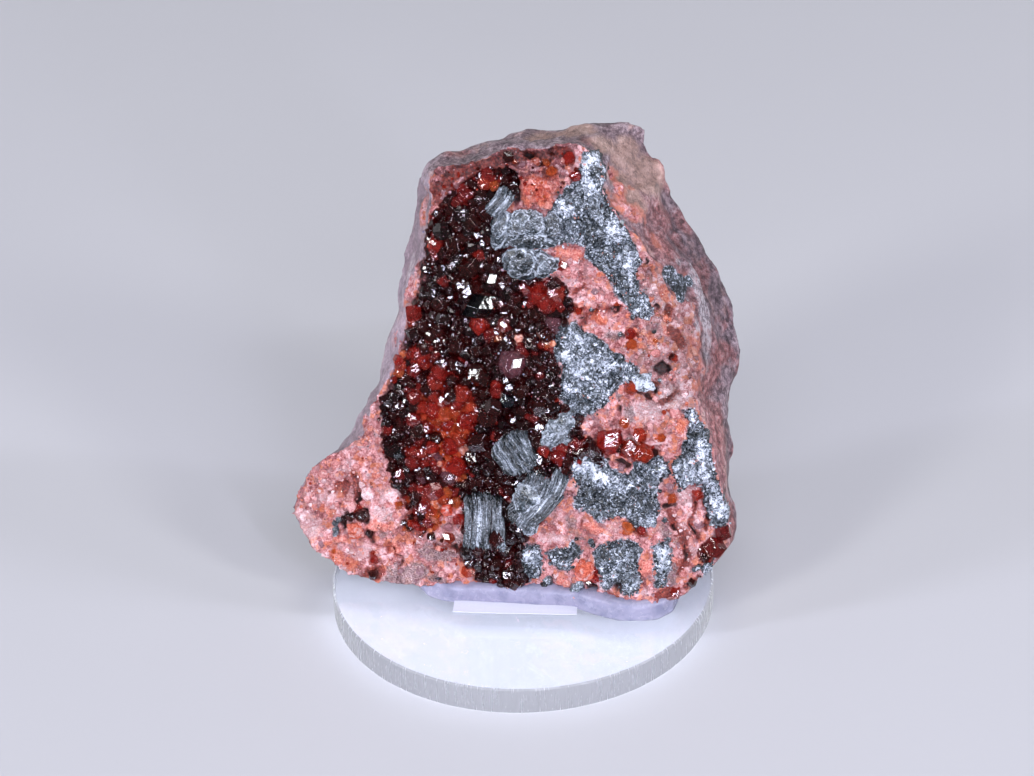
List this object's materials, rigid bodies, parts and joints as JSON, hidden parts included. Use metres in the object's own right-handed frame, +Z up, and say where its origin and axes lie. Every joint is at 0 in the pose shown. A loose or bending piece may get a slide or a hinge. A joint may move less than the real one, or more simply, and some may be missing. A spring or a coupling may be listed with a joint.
{
  "type": "garnet in matrix specimen on an acrylic round",
  "caption": "Display specimen: dark red garnet druse and grey chlorite books on pink massive grossular rock, set in white mineral tack on a clear acrylic round with a blank label.",
  "frame": {"origin": "centre of the acrylic round's underside", "axes": "+Z up, -Y towards the viewer of the specimen's crystal face, +X to the viewer's right"},
  "size_m": [0.0746, 0.0661, 0.0761],
  "materials": {
    "acrylic": "clear cast acrylic, polished faces, finely machined rim",
    "tack": "white mineral tack, smooth and slightly glossy",
    "label": "plain white paper, blank",
    "matrix": "broken, granular pink rock, mauve-grey and ochre on the sides",
    "garnet_druse": "glossy translucent deep red crystals",
    "garnet_groups": "glossy translucent red-brown crystals",
    "chlorite_books": "dark green-grey leaves with silvery pearly lustre",
    "chlorite_felt": "speckled felt of fine silvery leaves"
  },
  "bodies": {
    "root": {"acrylic_round": "acrylic", "chlorite_book_bright": "chlorite_books", "chlorite_book_curl": "chlorite_books", "chlorite_book_knob": "chlorite_books", "chlorite_book_middle": "chlorite_books", "chlorite_book_slant": "chlorite_books", "chlorite_book_tall": "chlorite_books", "chlorite_book_top": "chlorite_books", "chlorite_book_upper": "chlorite_books", "chlorite_felt_base": "chlorite_felt", "chlorite_felt_centre": "chlorite_felt", "chlorite_felt_dark": "chlorite_felt", "chlorite_felt_edge": "chlorite_felt", "chlorite_felt_foot": "chlorite_felt", "chlorite_felt_low": "chlorite_felt", "chlorite_felt_top": "chlorite_felt", "chlorite_felt_wide": "chlorite_felt", "garnet_base": "garnet_groups", "garnet_druse": "garnet_druse", "garnet_round": "garnet_groups", "garnets_left_point": "garnet_groups", "garnets_low_right": "garnet_groups", "garnets_mid_right": "garnet_groups", "matrix_stone": "matrix", "mineral_tack": "tack", "paper_label": "label"}
  },
  "joints": []
}
